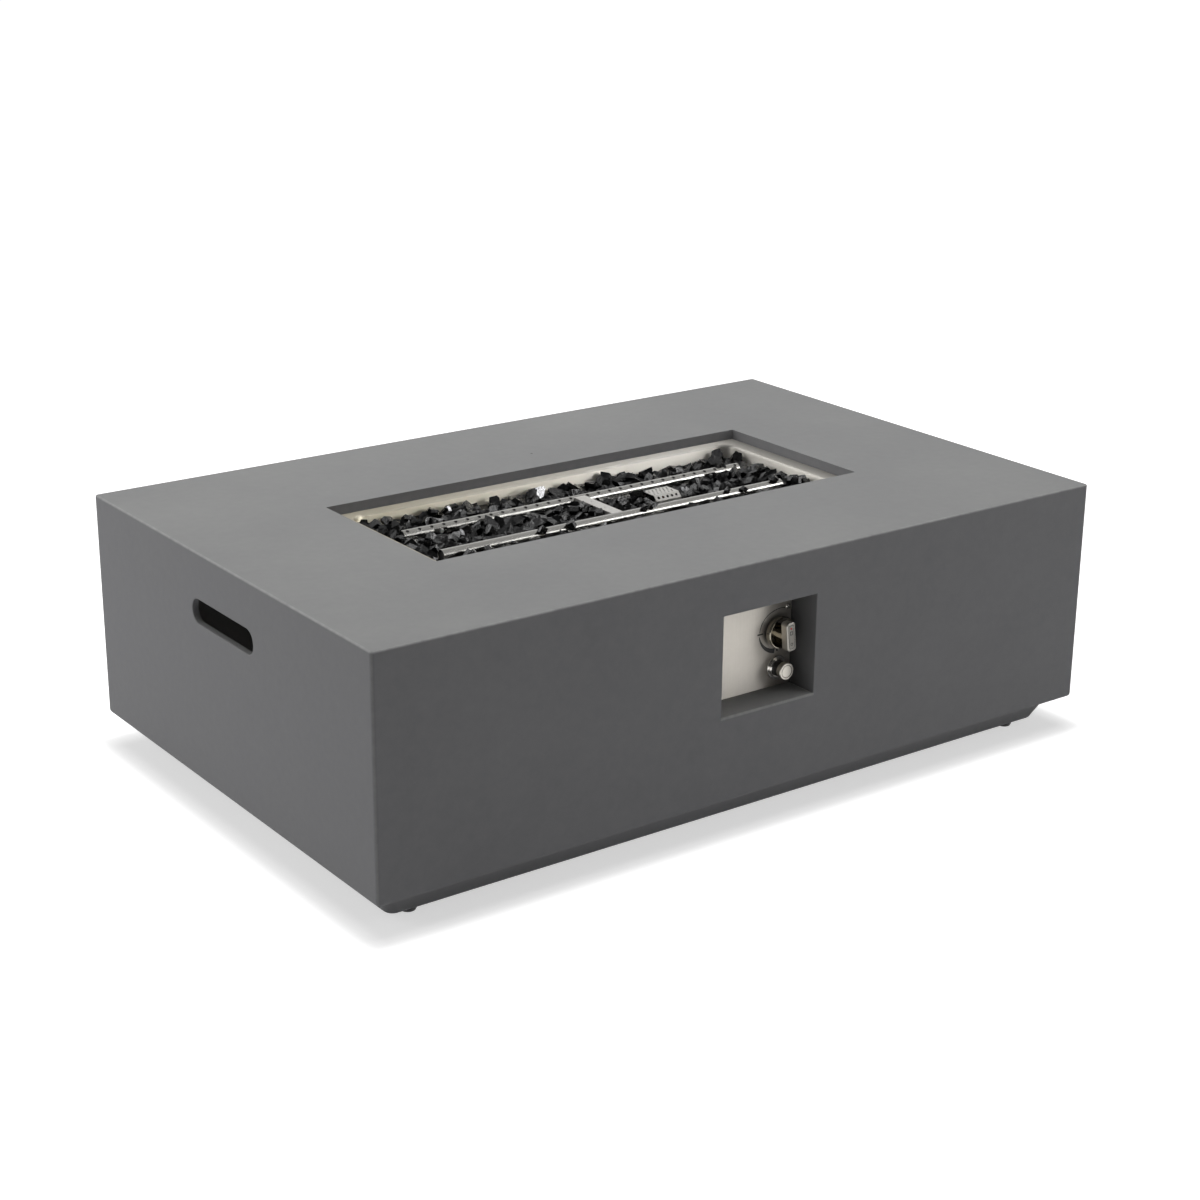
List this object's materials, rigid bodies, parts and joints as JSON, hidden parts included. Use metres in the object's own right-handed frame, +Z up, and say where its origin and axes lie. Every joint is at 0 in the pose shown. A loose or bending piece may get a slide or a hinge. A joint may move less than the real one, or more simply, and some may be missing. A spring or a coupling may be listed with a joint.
{
  "type": "gas fire pit table",
  "caption": "Low rectangular concrete table with a ported tube burner in a steel pan of black fire glass, a recessed control knob and igniter, carrying slots and levelling feet",
  "frame": {"origin": "on the floor under the middle of the table", "axes": "+Z up; +X along the long side, to the right when facing the control recess; the recess faces -Y"},
  "size_m": [1.283, 0.813, 0.403],
  "materials": {
    "concrete": "smooth matt grey concrete",
    "pan_steel": "brushed stainless steel",
    "burner_steel": "satin stainless steel",
    "plate_steel": "brushed stainless steel, vertical grain",
    "zinc_steel": "zinc plated steel",
    "chrome": "polished chrome plating",
    "brass": "machined brass",
    "copper": "bare copper sheath",
    "fire_glass": "broken glossy black fire glass",
    "black_plastic": "black moulded plastic",
    "hose_rubber": "black rubber hose",
    "yellow_pipe": "yellow coated steel gas pipe",
    "pale_insert": "pale satin insert",
    "red_dot": "red mark",
    "porcelain": "white alumina",
    "cell_case": "plain dry cell sleeve",
    "lead_cover": "black silicone cover",
    "foot_black": "black nylon"
  },
  "bodies": {
    "table": {"concrete_shell": "concrete", "foot_inserts": "brass", "burner_pan": "pan_steel", "burner_front_tube": "burner_steel", "burner_back_tube": "burner_steel", "tube_end_caps": "burner_steel", "tube_screws": "zinc_steel", "burner_cross_tube": "burner_steel", "burner_inlet_nipple": "zinc_steel", "inlet_locknuts": "zinc_steel", "air_mixer": "zinc_steel", "orifice_elbow": "brass", "burner_stands": "burner_steel", "burner_screws": "zinc_steel", "burner_nuts": "zinc_steel", "pilot_hood": "burner_steel", "pilot_bracket": "burner_steel", "electrode_insulator": "porcelain", "spark_electrode": "zinc_steel", "thermocouple_probe": "copper", "control_plate": "plate_steel", "plate_screws": "chrome", "valve_screws": "zinc_steel", "gas_valve_body": "brass", "igniter_housing": "black_plastic", "igniter_nut": "chrome", "aa_battery": "cell_case", "igniter_spring": "zinc_steel", "igniter_terminal": "brass", "gas_inlet_fitting": "brass", "gas_inlet_locknut": "brass", "supply_pipe": "yellow_pipe", "feed_hose": "hose_rubber", "supply_pipe_nuts": "brass", "feed_hose_nuts": "brass", "thermocouple_nut": "brass", "thermocouple_lead": "copper", "ignition_lead": "lead_cover", "rock_bed": "fire_glass"},
    "valve_plug": {"valve_plug": "brass", "stem_spring": "zinc_steel"},
    "knob": {"valve_stem": "brass", "knob": "chrome", "knob_face_insert": "pale_insert", "knob_dot": "red_dot"},
    "igniter_button": {"igniter_button": "chrome", "igniter_plunger": "black_plastic"},
    "foot_pad_1": {"foot_pad_1": "foot_black"},
    "foot_stud_1": {"foot_stud_1": "zinc_steel"},
    "foot_pad_2": {"foot_pad_2": "foot_black"},
    "foot_stud_2": {"foot_stud_2": "zinc_steel"},
    "foot_pad_3": {"foot_pad_3": "foot_black"},
    "foot_stud_3": {"foot_stud_3": "zinc_steel"},
    "foot_pad_4": {"foot_pad_4": "foot_black"},
    "foot_stud_4": {"foot_stud_4": "zinc_steel"}
  },
  "joints": [
    {"name": "knob_turn", "type": "hinge", "parent": "table", "child": "valve_plug", "pos_m": [0.064, -0.3525, 0.267], "axis": [0, -1, 0], "range_deg": [-5.5, 174.5]},
    {"name": "knob_push", "type": "slide", "parent": "valve_plug", "child": "knob", "axis": [0, 1, 0], "range_m": [0, 0.003], "stiffness_N_per_m": 2000, "springref_m": -0.002, "deforming": ["stem_spring"]},
    {"name": "igniter_push", "type": "slide", "parent": "table", "child": "igniter_button", "axis": [0, 1, 0], "range_m": [0, 0.004], "stiffness_N_per_m": 1500, "springref_m": -0.002, "deforming": ["igniter_spring"]},
    {"name": "foot_lift_1", "type": "slide", "parent": "table", "child": "foot_pad_1", "axis": [0, 0, 1], "range_m": [-0.01, 0]},
    {"name": "foot_turn_1", "type": "hinge", "parent": "foot_pad_1", "child": "foot_stud_1", "pos_m": [-0.5585, -0.3435, 0], "axis": [0, 0, 1], "range_deg": [-2880, 0]},
    {"name": "foot_lift_2", "type": "slide", "parent": "table", "child": "foot_pad_2", "axis": [0, 0, 1], "range_m": [-0.01, 0]},
    {"name": "foot_turn_2", "type": "hinge", "parent": "foot_pad_2", "child": "foot_stud_2", "pos_m": [0.5585, -0.3435, 0], "axis": [0, 0, 1], "range_deg": [-2880, 0]},
    {"name": "foot_lift_3", "type": "slide", "parent": "table", "child": "foot_pad_3", "axis": [0, 0, 1], "range_m": [-0.01, 0]},
    {"name": "foot_turn_3", "type": "hinge", "parent": "foot_pad_3", "child": "foot_stud_3", "pos_m": [-0.5585, 0.3435, 0], "axis": [0, 0, 1], "range_deg": [-2880, 0]},
    {"name": "foot_lift_4", "type": "slide", "parent": "table", "child": "foot_pad_4", "axis": [0, 0, 1], "range_m": [-0.01, 0]},
    {"name": "foot_turn_4", "type": "hinge", "parent": "foot_pad_4", "child": "foot_stud_4", "pos_m": [0.5585, 0.3435, 0], "axis": [0, 0, 1], "range_deg": [-2880, 0]}
  ],
  "couplings": [
    {"joint": "foot_turn_1", "follows": "foot_lift_1", "rad_per_m": 5026.5},
    {"joint": "foot_turn_2", "follows": "foot_lift_2", "rad_per_m": 5026.5},
    {"joint": "foot_turn_3", "follows": "foot_lift_3", "rad_per_m": 5026.5},
    {"joint": "foot_turn_4", "follows": "foot_lift_4", "rad_per_m": 5026.5}
  ]
}
